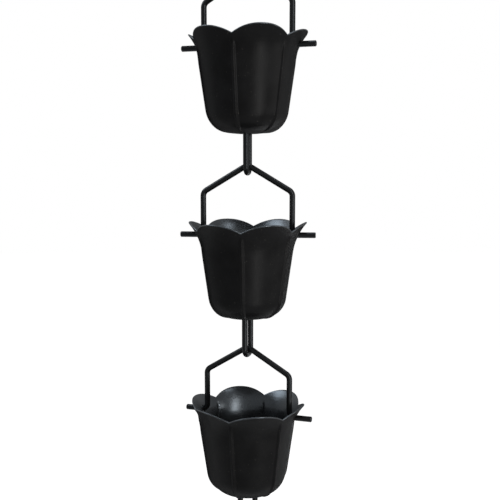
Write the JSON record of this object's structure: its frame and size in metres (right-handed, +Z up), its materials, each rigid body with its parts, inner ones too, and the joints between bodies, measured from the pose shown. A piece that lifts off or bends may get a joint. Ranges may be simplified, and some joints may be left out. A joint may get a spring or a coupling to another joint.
{
  "type": "rain chain",
  "caption": "Rain chain length: scalloped flower cups hung one under another on bent-wire bails and hairpin links, guiding roof water down.",
  "frame": {"origin": "under the top bend of the first bail, where a hook carries the chain", "axes": "+Z up along the chain; X roughly along the rod ends of the bails, Y towards the back"},
  "size_m": [0.1186, 0.1032, 0.492],
  "materials": {
    "cup_coating": "satin black coating",
    "wire_coating": "satin black coating"
  },
  "bodies": {
    "bail_1": {"bail_1": "wire_coating"},
    "cup_1": {"cup_1": "cup_coating"},
    "link_1": {"link_1": "wire_coating"},
    "bail_2": {"bail_2": "wire_coating"},
    "cup_2": {"cup_2": "cup_coating"},
    "link_2": {"link_2": "wire_coating"},
    "bail_3": {"bail_3": "wire_coating"},
    "cup_3": {"cup_3": "cup_coating"},
    "link_3": {"link_3": "wire_coating"}
  },
  "joints": [
    {"name": "cup_1_swing", "type": "hinge", "parent": "bail_1", "child": "cup_1", "pos_m": [0, 0, -0.05666], "axis": [0.9622, -0.2723, 0], "range_deg": [-45, 45]},
    {"name": "link_1_swivel", "type": "hinge", "parent": "cup_1", "child": "link_1", "pos_m": [0, 0, -0.13106], "axis": [0, 0, 1], "continuous": true},
    {"name": "bail_2_swing", "type": "hinge", "parent": "link_1", "child": "bail_2", "pos_m": [0, 0, -0.15806], "axis": [0.9932, -0.1167, 0], "range_deg": [-45, 45]},
    {"name": "cup_2_swing", "type": "hinge", "parent": "bail_2", "child": "cup_2", "pos_m": [0, 0, -0.21722], "axis": [0.9932, -0.1167, 0], "range_deg": [-45, 45]},
    {"name": "link_2_swivel", "type": "hinge", "parent": "cup_2", "child": "link_2", "pos_m": [0, 0, -0.29162], "axis": [0, 0, 1], "continuous": true},
    {"name": "bail_3_swing", "type": "hinge", "parent": "link_2", "child": "bail_3", "pos_m": [0, 0, -0.31862], "axis": [0.9415, -0.3371, 0], "range_deg": [-45, 45]},
    {"name": "cup_3_swing", "type": "hinge", "parent": "bail_3", "child": "cup_3", "pos_m": [0, 0, -0.37778], "axis": [0.9415, -0.3371, 0], "range_deg": [-45, 45]},
    {"name": "link_3_swivel", "type": "hinge", "parent": "cup_3", "child": "link_3", "pos_m": [0, 0, -0.45218], "axis": [0, 0, 1], "continuous": true}
  ]
}
